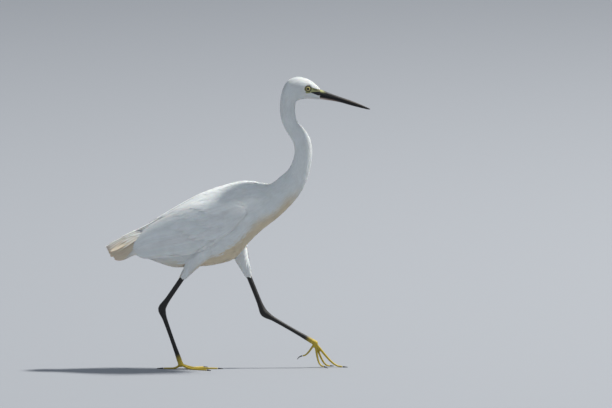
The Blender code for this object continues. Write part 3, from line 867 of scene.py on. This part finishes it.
def coat_piece(name, blocks, material, silk, *nodes):
    """One joined mesh of vanes from blocks of (points, normals, root places, tones).

    silk is how far the vanes are shaded as the body under them, 0 to 1."""
    points, guides, faces, bake, vane, tones = [], [], [], [], [], []
    base = 0
    for verts, shaded, places, colours in blocks:
        count, rows, columns, _ = verts.shape
        ids = base + np.arange(count * rows * columns).reshape(count, rows, columns)
        quads = np.stack([ids[:, :-1, :-1], ids[:, :-1, 1:], ids[:, 1:, 1:], ids[:, 1:, :-1]], -1)
        faces.append(quads.reshape(-1, 4))
        points.append(verts.reshape(-1, 3))
        guides.append(shaded.reshape(-1, 3))
        u, v = np.linspace(0, 1, columns), np.linspace(0, 1, rows)
        local = np.stack(np.broadcast_arrays(u[None, :], v[:, None]), -1)
        local = np.broadcast_to(local[None], (count, rows, columns, 2))
        vane.append(local.reshape(-1, 2))
        bake.append((places[:, None, None] + (local - 0.5) * BAKE_PATCH).reshape(-1, 2))
        shade = dice.uniform(0.93, 1.0, (count, 1, 1, 1))
        tones.append((colours[:, None, None] * shade * np.ones((count, rows, columns, 1))).reshape(-1, 3))
        base += count * rows * columns
    mesh = mesh_of(name, np.concatenate(points), np.concatenate(faces))
    layer = mesh.uv_layers.new(name="OFBake")
    corners = read(mesh.loops, "vertex_index", 1, int).ravel()
    layer.data.foreach_set("uv", np.concatenate(bake)[corners].ravel())
    flat = np.zeros((base, 3))
    flat[:, :2] = np.concatenate(vane)
    mesh.attributes.new("vane", "FLOAT_VECTOR", "POINT").data.foreach_set("vector", flat.ravel())
    paint(mesh, "tone", np.concatenate(tones))
    shade = unit(mix(vertex_normals(mesh), np.concatenate(guides), silk))
    mesh.normals_split_custom_set_from_vertices(shade.tolist())
    finish_piece(name, mesh, material, "plumage", *nodes)


def scatter(points, spacing):
    """Picks from candidate points, in a random order, that keep their spacing from one another."""
    grid = np.floor(points / float(np.max(spacing))).astype(int).tolist()
    places = points.tolist()
    gaps = (np.broadcast_to(spacing, len(points)) ** 2).tolist()
    cells = {}
    around = [(i, j, k) for i in (-1, 0, 1) for j in (-1, 0, 1) for k in (-1, 0, 1)]

    def is_clear(i):
        x, y, z = places[i]
        cx, cy, cz = grid[i]
        for dx, dy, dz in around:
            for px, py, pz in cells.get((cx + dx, cy + dy, cz + dz), ()):
                if (px - x) ** 2 + (py - y) ** 2 + (pz - z) ** 2 < gaps[i]:
                    return False
        return True

    kept = []
    for i in dice.permutation(len(points)).tolist():
        if is_clear(i):
            cells.setdefault(tuple(grid[i]), []).append(places[i])
            kept.append(i)
    return np.array(kept)


class Bed:
    """The coat's surface as arrays of triangles, with a search tree and each triangle's group."""

    def __init__(self, mesh):
        self.points = vertex_points(mesh)
        self.tris = triangles_of(mesh)
        self.tree = BVHTree.FromPolygons(self.points.tolist(), self.tris.tolist())
        self.group = groups_of(self.points)[self.tris[:, 0]]
        self.vertex_normals = unit(Neighbours(mesh).soften(vertex_normals(mesh), 4, 0.6))
        a, b, c = (self.points[self.tris[:, i]] for i in range(3))
        self.area = np.linalg.norm(np.cross(b - a, c - a), axis=1) / 2
        self.middle = (a + b + c) / 3

    def sample(self, chosen, per_mm2):
        """Random points on the chosen triangles, so many to the square millimetre, and their groups."""
        area = self.area * chosen
        count = int(area.sum() * per_mm2)
        picks = np.searchsorted(np.cumsum(area) / area.sum(), dice.random(count))
        r1, r2 = np.sqrt(dice.random(count)), dice.random(count)
        a, b, c = (self.points[self.tris[picks, i]] for i in range(3))
        where = a * (1 - r1)[:, None] + b * (r1 * (1 - r2))[:, None] + c * (r1 * r2)[:, None]
        return where, self.group[picks]

    def smooth_normals(self, where, tri):
        """Normals at points on triangles, from the three corners by their nearness."""
        corners = self.tris[tri]
        gaps = np.linalg.norm(self.points[corners] - where[:, None], axis=2)
        share = 1 / (gaps + 0.05)
        return unit((self.vertex_normals[corners] * share[:, :, None]).sum(1))

    def snap(self, points):
        """The nearest places on the surface and their normals."""
        found = [self.tree.find_nearest(point) for point in points.tolist()]
        where = np.array([hit[0] for hit in found])
        return where, self.smooth_normals(where, np.array([hit[2] for hit in found]))

    def drape(self, side, flat):
        """Points and normals on one flank for places in the side view, shape (vane, row, 2).

        A ray that passes over the body is tried again lower down, and in the end gives the nearest place."""
        where, tri = [], []
        for x, z in flat.reshape(-1, 2).tolist():
            for lower in range(RAY_TRIES):
                hit = self.tree.ray_cast((x, side * RAY_START, z - RAY_STEP * lower), (0, -side, 0))
                if hit[0] is not None and hit[0][1] * side > 0.5:
                    break
            else:
                hit = self.tree.find_nearest((x, side * 16.0, z))
            where.append(hit[0])
            tri.append(hit[2])
        where = np.array(where)
        normal = unit(self.smooth_normals(where, np.array(tri)) + np.array([0, 0.35 * side, 0]))
        return where.reshape(*flat.shape[:2], 3), normal.reshape(*flat.shape[:2], 3)

    def cover(self, x, y):
        """Points and normals on the back for places in the view from above. At the midline the cape bridges
        the furrow, from the higher of the places beside it."""
        where, tri = [], []
        for px, py in np.stack([x, y], -1).reshape(-1, 2).tolist():
            reach = CAPE_REACH * max(0.0, 1 - abs(py) / 5)
            starts = [(px, py + aside * reach, 400.0) for aside in (-1, 0, 1)]
            hits = [self.tree.ray_cast(start, (0, 0, -1)) for start in starts]
            hit = max(hits, key=lambda found: found[0][2])
            where.append((px, py, hit[0][2]))
            tri.append(hit[2])
        where = np.array(where)
        return where.reshape(*x.shape, 3), self.smooth_normals(where, np.array(tri)).reshape(*x.shape, 3)


def drift(points):
    """A slow wander in the lie of the feathers, in radians."""
    x, y, z = points.T
    return 0.07 * (np.sin(x * 0.11 + 1.7 * np.sin(z * 0.07)) + np.sin(z * 0.13 + y * 0.16 + 0.8))


def grow(bed, roots, lengths, widths, depths, lifts, in_thigh, rows, columns, spread=0.06, tip=0.4,
         lie=lie_of):
    """Vanes that walk over the bed the way the feathers lie, and rise out of it from root to tip."""
    count = len(roots)
    each = (np.broadcast_to(value, count) for value in (widths, depths, lifts, in_thigh))
    widths, depths, lifts, in_thigh = each
    spin = dice.normal(0, spread, count) + drift(roots)
    here, normal = bed.snap(roots)
    centres, norms = [here], [normal]
    for _ in range(rows - 1):
        way = lie(here, in_thigh)
        way = unit(way - (way * normal).sum(1)[:, None] * normal)
        way = way * np.cos(spin)[:, None] + np.cross(normal, way) * np.sin(spin)[:, None]
        here, normal = bed.snap(here + way * (lengths / (rows - 1))[:, None])
        centres.append(here)
        norms.append(normal)
    centres, norms = np.stack(centres, 1), np.stack(norms, 1)
    f = np.linspace(0, 1, rows)[None]
    height = -depths[:, None] * (1 - f) ** 1.5 + lifts[:, None] * (f - 0.5 * f**5)
    centres = centres + norms * height[:, :, None]
    halfs = widths[:, None] / 2 * tip_profile(rows, 0.55, tip)[None]
    radius = np.interp(on_axis(roots)[0], SIZE_STOPS, BEND_RADII)
    radius = mix(radius, 9.0, in_thigh * smoothstep(178, 150, roots[:, 2]))
    roll = dice.normal(0, 0.01, count) * widths
    points, shaded = strips(centres, norms, halfs, 1 / radius, 0.03 * widths, roll, 0, columns)
    return points, shaded, unwrap(roots, in_thigh), tone_of(roots)


def vane_sizes(points, group):
    """Length, width, spacing and depth of a body feather rooted at each point."""
    x, _, z = points.T
    along, _, _ = on_axis(points)
    low = is_in(group, "thigh") * smoothstep(180, 152, z)
    near_eye = (along < 60) * smoothstep(13, 6, np.hypot(x - EYE_CENTRE[0], z - EYE_CENTRE[2]))
    tables = zip((LENGTHS, WIDTHS, SPACINGS, DEPTHS), SHANK_SIZES, EYE_SIZES)
    return [mix(mix(np.interp(along, SIZE_STOPS, row), leg, low), eye, near_eye) for row, leg, eye in tables]


def on_wing_face(bed):
    """True for the triangles that the wing's own rows of feathers cover."""
    x, y, z = bed.middle.T
    top = column_at(WING, x, 1)
    tips = is_in(bed.group, "vanes") & (z < WING_TIP_TOP) & (np.abs(y) > 1)
    return (is_in(bed.group, "wing") & (z < top - 3)) | (tips & (z < top - 2))


def short_of_wing(points, length):
    """Lengths that stop the breast's and flank's feathers at the edge of the folded wing."""
    lie = lie_of(points, 0 * length)
    result = 0.3 * length
    for share in (0.45, 0.6, 0.75, 0.88, 1.0):
        t, b = wing_place(points + lie * (length * share)[:, None])
        over = (b > COVERED_B[0]) & (b < COVERED_B[1]) & (t > COVERED_T[0]) & (t < COVERED_T[1])
        result = np.where(over, result, length * share)
    return np.where(np.abs(points[:, 1]) < 17, length, result)


def short_of_cuff(points, length, in_thigh):
    """Lengths that stop the thigh's feathers where its bare shank begins."""
    for side, joints in LEGS.items():
        left = (np.array(joints[1]) - points) @ leg_direction(side)
        ends = np.clip(left + 1.2, 3.0, length)
        length = np.where((in_thigh > 0) & (points[:, 1] * side > 0), ends, length)
    return length


def make_contour_feathers(bed):
    """Head, neck, trunk and thighs. The folded wing and the tail have their own rows."""
    x, y, z = bed.middle.T
    vanes = is_in(bed.group, "vanes")
    plumed = ~is_in(bed.group, "bare") & ~is_in(bed.group, "feet") & ~on_wing_face(bed)
    under_cape = (x < CAPE_X) & (np.abs(y) < CAPE_HALF) & (z > CAPE_Z)
    chosen = plumed & (x > TRUNK_END) & ~under_cape & ~(vanes & (x < WING_TIP_END))
    on_head = (x > NECK_X) & (z > HEAD_Z)
    on_neck = (x > NECK_X) & ~on_head & (z > NECK_Z)
    body = ~on_head & ~on_neck
    look = feather_material("plumage_fine", 60.0, 0.10)
    # piece, where, candidate points to the square millimetre, points along a feather and across it
    parts = (
        ("head", chosen & on_head, 3.6, 4, 3),
        ("neck", chosen & on_neck, 2.2, 5, 3),
        ("body_right", chosen & body & (y < 0), 0.6, 8, 5),
        ("body_left", chosen & body & (y >= 0), 0.6, 8, 5),
    )
    for part, mask, per_mm2, rows, columns in parts:
        points, group = bed.sample(mask, per_mm2)
        keep = scatter(points, vane_sizes(points, group)[2])
        points, group = points[keep], group[keep]
        bald = is_bald(points, is_in(group, "head"))
        points, group = points[~bald], group[~bald]
        length, width, _, depth = vane_sizes(points, group)
        in_thigh = is_in(group, "thigh").astype(float)
        vary = dice.normal(1, 0.08, len(points))
        length = short_of_cuff(points, short_of_wing(points, length), in_thigh)
        lift = (0.04 + 0.035 * width) * (1 - 0.5 * in_thigh)
        block = grow(bed, points, length * vary, width * vary, depth, lift, in_thigh, rows, columns)
        coat_piece("coat_" + part, [block], look, 0.8)


def make_scapulars(bed, look):
    """Long soft feathers of the shoulder and back, which hide the upper edge of each folded wing."""
    x, y, z = bed.middle.T
    band = (np.abs(z - column_at(WING, x, 1) - 4) < 9) & (x > -120) & (x < 2) & (np.abs(y) > 3)
    points, _ = bed.sample(band, 0.3)
    points = points[scatter(points, 5.2)]
    length = np.interp(points[:, 0], [-120, -90, -40, 2], [34, 44, 48, 30])
    length *= dice.normal(1, 0.06, len(points))
    block = grow(bed, points, length, 10.5, 0.6, 0.9, 0.0, 9, 5, 0.05, 0.35)
    coat_piece("coat_scapulars", [block], look, 0.6)


def make_lesser_coverts(bed, word, side, look):
    """Small feathers of the wing's front third, down to its leading edge."""
    t, b = wing_place(bed.middle)
    x, y, z = bed.middle.T
    wing = is_in(bed.group, "wing") & (y * side > 12) & ((z < column_at(WING, x, 1) + 2) | (t > 11))
    points, _ = bed.sample(wing & (t > 7.9 + 1.2 * (1 - np.clip(b, 0, 1))), 0.7)
    stops = [8, 10.5, 11.8]
    points = points[scatter(points, np.interp(wing_place(points)[0], stops, [3.4, 2.6, 1.9]))]
    t, _ = wing_place(points)
    length = np.interp(t, stops, [19, 14, 9]) * dice.normal(1, 0.07, len(points))
    width, lift = np.interp(t, stops, [7.0, 5.2, 3.6]), np.interp(t, stops, [1.35, 1.2, 0.7])
    block = grow(bed, points, length, width, 0.3, lift, 0.0, 7, 5, 0.05, 0.45, wing_lie)
    coat_piece(f"coat_lesser_coverts_{word}", [block], look, 0.55)


def eased(path, rounds):
    """Paths of points, each evened out between its ends."""
    for _ in range(rounds):
        path[:, 1:-1] = 0.5 * path[:, 1:-1] + 0.25 * (path[:, :-2] + path[:, 2:])
    return path


def wing_row(bed, side, first_root, last_root, first_tip, last_tip, count, width, heights, rows, lean, tip,
             loose):
    """A row of long feathers of one wing, from a line of WING_ROWS."""
    share = np.linspace(0, 1, count)[:, None]
    roots, tips = mix(first_root, last_root, share), mix(first_tip, last_tip, share)
    roots += dice.normal(0, 1, roots.shape) * (1.5 * loose, 0.2 * loose)
    tips += dice.normal(0, 1, tips.shape) * (loose, 0.2 * loose)
    f = np.linspace(0, 1, rows)[None]
    guide = mix(roots[:, None], tips[:, None], f[..., None])
    guide[:, :, 1] = np.maximum(guide[:, :, 1], 0.07)
    centres, normals = bed.drape(side, wing_points(guide[..., 0], guide[..., 1]))
    centres, normals = eased(centres, 4), unit(eased(normals, 6))
    rise = mix(*heights, f**0.8) - 0.2 * heights[1] * f**6
    centres = centres + normals * rise[:, :, None]
    halfs = np.broadcast_to(width / 2 * tip_profile(rows, 0.5, tip, 0.06)[None], centres.shape[:2])
    return long_row(centres, normals, halfs, 0.018, WING_ROLL * side, -lean * side)


def tail_row(count, rows, spread, end, width, heights, drop, breadth, root, tip, ragged):
    """Feathers laid like roof tiles over the tail's arch, from a line of TAIL_ROWS."""
    across = np.linspace(-spread, spread, count)[:, None]
    f = np.linspace(0, 1, rows)[None]
    table = row_at(TAIL, (end + dice.uniform(-ragged, ragged, (count, 1))) * f)
    out = across * (root + (1 - root) * f)
    x = table[..., 0] + table[..., 4] * out**2
    y = breadth * table[..., 2] * out
    z = table[..., 1] - drop * table[..., 3] * out**2 + mix(*heights, f) + 0.5 * (1 - np.abs(across))
    slope = -2 * drop * table[..., 3] * out / (breadth * table[..., 2])
    normals = unit(np.stack([0 * slope - 0.35, -slope, 1 + 0 * slope], -1))
    widening = np.linspace(0.8, 1.1, rows)[None]
    halfs = width / 2 * tip_profile(rows, 0.6, tip, 0.2)[None] * widening + 0 * x
    return long_row(np.stack([x, y, z], -1), normals, halfs, 0.02, TAIL_ROLL * np.sign(across[:, 0]))


def tail_side(side, count=6, rows=14):
    """The outer tail feathers of one side, stepped below one another down to the tip of the folded wing."""
    share = np.linspace(0, 1, count)[:, None]
    f = np.linspace(0, 1, rows)[None]
    x = mix(-146.0, -203.0 + 6.5 * share + dice.uniform(-0.6, 0.6, (count, 1)), f)
    ridge, half, drop = (column_at(TAIL, x, column) for column in (1, 2, 3))
    low = np.minimum(column_at(TAIL_SIDE, x, 1), ridge - 0.9 * drop)
    z = mix(ridge - 0.72 * drop, low, share)
    turn = np.arccos(np.clip(1 - (ridge - z) / TAIL_ARCH, -0.3, 1))
    normals = unit(np.stack([0 * x - 0.2, side * np.sin(turn), np.cos(turn) + 0.25], -1))
    centres = np.stack([x, side * 0.96 * half * np.sin(turn), z], -1) + normals * 0.3
    halfs = 4.6 * tip_profile(rows, 0.6, 0.8, 0.25)[None] + 0 * x
    return long_row(centres, normals, halfs, 0.02, SIDE_ROLL * side)


def cape_row(bed, start, end, reach, width, level):
    """The innermost wing feathers of both sides, which meet over the rump and hide the root of the tail."""
    across = np.linspace(-1, 1, CAPE_COUNT)[:, None]
    f = np.linspace(0, 1, CAPE_POINTS)[None]
    x = mix(start, end + 7.0 * across**2 + dice.uniform(-3, 3, (CAPE_COUNT, 1)), f)
    centres, normals = bed.cover(x, reach * across * (1.25 - 0.45 * f))
    centres, normals = eased(centres, 12), unit(eased(normals, 12))
    centres = centres + normals * (level * f[..., None] ** 0.7)
    halfs = width / 2 * tip_profile(CAPE_POINTS, 0.5, 0.5)[None] + 0 * x
    return long_row(centres, normals, halfs, 0.03, SIDE_ROLL * np.sign(across[:, 0]))


def make_long_feathers(bed):
    """Shoulders, wings, tail and cape."""
    look = feather_material("plumage_vane", 260.0, 0.22)
    make_scapulars(bed, look)
    for word, side in SIDES:
        rows = [wing_row(bed, side, *row) for row in WING_ROWS]
        coat_piece("wing_feathers_" + word, rows, look, 0.6, "wing_tip_" + word)
        make_lesser_coverts(bed, word, side, look)
    rows = [tail_row(*row) for row in TAIL_ROWS] + [tail_side(RIGHT), tail_side(LEFT)]
    coat_piece("tail_feathers", rows, look, 0.45, "tail")
    coat_piece("coat_cape", [cape_row(bed, *row) for row in CAPE_ROWS], look, 0.55)


# Bill, eyes and claws

def half_bill(name, upper, steps=46, sides=18):
    """One half of the bill; the upper one has a groove along each side with the nostril in it."""
    rows = row_at(BILL, np.linspace(0, len(BILL) - 1, steps))
    x, culmen, tomium, gonys, half = (rows[:, [column]] for column in range(5))
    turn = np.linspace(0, math.pi, sides + 1)[None]
    rise, across = np.sin(turn), np.cos(turn)
    edge = tomium + (BILL_SPLIT if upper else -BILL_SPLIT)
    y = half * across
    z = edge + ((culmen if upper else gonys) - edge) * rise**0.85
    if upper:
        slot = np.exp(-(((x - NOSTRIL_X) / NOSTRIL_LENGTH) ** 4) - ((rise - NOSTRIL_RISE) / 0.09) ** 2)
        groove = smoothstep(185, 150, x) * np.exp(-(((rise - 0.5) / 0.16) ** 2))
        y = y - np.sign(across) * (np.abs(across) > 0.02) * (0.55 * slot + 0.25 * groove)
    mesh = tube(name, np.stack(np.broadcast_arrays(x, y, z), -1))
    mesh.set_sharp_from_angle(angle=math.radians(55))
    return mesh


def bill_tone(points, upper):
    """Black horn, worn paler towards the tip above, and pale at the root."""
    x, _, z = points.T
    culmen, tomium, gonys = (column_at(BILL, x, column) for column in (1, 2, 3))
    if upper:
        height = (z - tomium) / (culmen - tomium)
        pale = 0.3 * band(x, 162, 180, 192, 205)
        root = smoothstep(141, 134, x) * smoothstep(0.5, 0.75, height)
        return mix(mix(HORN_BLACK, HORN_WORN, pale[:, None]), LORE, root[:, None])
    height = (z - gonys) / (tomium - gonys)
    pale = smoothstep(168, 150, x) * smoothstep(0.62, 0.3, height)
    root = 0.85 * smoothstep(148, 135, x) * smoothstep(0.5, 0.25, height)
    return mix(mix(HORN_BLACK, HORN_PALE, pale[:, None]), HORN_ROOT, root[:, None])


def make_bill():
    look = bill_material()
    for word, upper in (("upper", True), ("lower", False)):
        name = f"bill_{word}_horn"
        mesh = half_bill(name, upper)
        paint(mesh, "tone", bill_tone(vertex_points(mesh), upper))
        finish_piece(name, mesh, look, "bill", "bill_" + word)


def ball(name, radius, around=48, rings=31):
    """A sphere of triangles round the origin, with its poles at the top and bottom."""
    tilt = np.linspace(0, math.pi, rings + 2)[1:-1, None]
    turn = np.arange(around)[None] * 2 * math.pi / around
    x, y, z = np.sin(tilt) * np.cos(turn), np.sin(tilt) * np.sin(turn), np.cos(tilt) + 0 * turn
    verts = radius * np.concatenate([np.stack([x, y, z], -1).reshape(-1, 3), [(0, 0, 1), (0, 0, -1)]])
    quads = ring_quads(rings, around)
    k = np.arange(around)
    beside, last = (k + 1) % around, (rings - 1) * around
    top = np.stack([k, beside, 0 * k + rings * around], 1)
    bottom = np.stack([last + k, last + beside, 0 * k + rings * around + 1], 1)
    return closed(name, verts, np.concatenate([quads[:, [0, 1, 2]], quads[:, [0, 2, 3]], top, bottom]))


def eyelid(name, side, around=64, across=10):
    """A ring round the eye, drawn out to a corner at each end."""
    angle = np.arange(around)[:, None] * 2 * math.pi / around
    turn = np.arange(across)[None] * 2 * math.pi / across
    back, front = np.maximum(0, -np.cos(angle)) ** 6, np.maximum(0, np.cos(angle)) ** 6
    reach = LID_RADIUS + 1.3 * back + 0.7 * front
    on_ball = np.sqrt(np.maximum(EYE_RADIUS**2 - np.minimum(reach, EYE_RADIUS * 0.96) ** 2, 0.1))
    radial = reach + LID_WIDTH * np.cos(turn)
    out = np.maximum(on_ball, LID_LIFT) + 0.1 + LID_HEIGHT * np.sin(turn)
    x = EYE_CENTRE[0] + radial * np.cos(angle)
    y = side * (EYE_CENTRE[1] + out)
    z = EYE_CENTRE[2] + radial * np.sin(angle)
    return tube(name, np.stack([x, y, z], -1), joined=True)


def make_eyes():
    look = eye_material()
    lid_look = grained_material("eyelid", LID_EDGE, 0.55, 900.0, 0.1)
    for word, side in SIDES:
        name = "eyeball_" + word
        eyeball = finish_piece(name, ball(name, EYE_RADIUS), look, "eyes", "eye_" + word)
        eyeball.location = Vector((EYE_CENTRE[0], side * EYE_CENTRE[1], EYE_CENTRE[2])) * MM
        name = "eyelid_" + word
        finish_piece(name, eyelid(name, side), lid_look, "plumage")


def make_claws():
    look = grained_material("claw_horn", CLAW_HORN, 0.4, 500.0, 0.02)
    for node_name, cad in sorted(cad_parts.items()):
        if not node_name.startswith("claw_"):
            continue
        name = node_name + "_horn"
        mesh = bpy.data.meshes.new(name)
        with editing(mesh, cad.data) as shape:
            bmesh.ops.remove_doubles(shape, verts=shape.verts, dist=WELD * MM)
            for _ in range(2):
                bmesh.ops.subdivide_edges(shape, edges=shape.edges, cuts=1, use_grid_fill=True)
                bmesh.ops.smooth_vert(shape, verts=shape.verts, factor=0.35,
                                      use_axis_x=True, use_axis_y=True, use_axis_z=True)
            bmesh.ops.recalc_face_normals(shape, faces=shape.faces)
        mesh.shade_smooth()
        finish_piece(name, mesh, look, "claws", node_name)


# Studio

def turn_to(obj, direction):
    """Points a camera or lamp along a direction."""
    obj.rotation_mode = "QUATERNION"
    obj.rotation_quaternion = direction.to_track_quat("-Z", "Y")


def make_camera():
    """Far off at the photograph's angle, so that one pixel is as many millimetres as in the photograph."""
    u0, v0 = PHOTO_ORIGIN
    tilt = math.radians(CAMERA_ELEVATION)
    across, down = PHOTO_WIDTH / 2 - u0, v0 - PHOTO_HEIGHT / 2
    aim = Vector((across * MM_PER_PIXEL, 0, down * MM_PER_PIXEL / math.cos(tilt)))
    away = Vector((0, -math.cos(tilt), math.sin(tilt)))
    data = bpy.data.cameras.new("camera")
    data.sensor_width = SENSOR
    data.lens = SENSOR * CAMERA_DISTANCE / (PHOTO_WIDTH * MM_PER_PIXEL)
    data.clip_end = 200
    camera = add_object("camera", data)
    camera.location = (aim + away * CAMERA_DISTANCE) * MM
    turn_to(camera, -away)
    bpy.context.scene.camera = camera


def make_studio():
    """A pale floor, a soft lamp behind the bird and a weak one before it, under an even sky."""
    mesh = bpy.data.meshes.new("floor")
    corners = [(x * FLOOR_REACH, y * FLOOR_REACH, 0) for x, y in ((-1, -1), (1, -1), (1, 1), (-1, 1))]
    mesh.from_pydata(corners, [], [(0, 1, 2, 3)])
    made, _, shader = new_material("floor", 0.85)
    shader.inputs["Base Color"].default_value = (*FLOOR_GREY, 1)
    mesh.materials.append(made)
    floor = add_object("floor", mesh)
    world = bpy.data.worlds.new("studio")
    world.use_nodes = True
    background = world.node_tree.nodes["Background"]
    background.inputs["Color"].default_value = (*SKY, 1)
    background.inputs["Strength"].default_value = SKY_STRENGTH
    bpy.context.scene.world = world
    bpy.context.scene.view_settings.view_transform = "Standard"
    for name, (place, size, power, colour) in LAMPS.items():
        data = bpy.data.lights.new(name, "AREA")
        data.shape = "DISK"
        data.size, data.energy, data.color = size, power, colour
        lamp = add_object(name, data)
        lamp.location = place
        turn_to(lamp, Vector(LAMP_AIM) - Vector(place))


def main():
    make_camera()
    make_skin()
    bed = Bed(make_bed())
    make_contour_feathers(bed)
    make_long_feathers(bed)
    make_bill()
    make_eyes()
    make_claws()
    make_studio()


main()
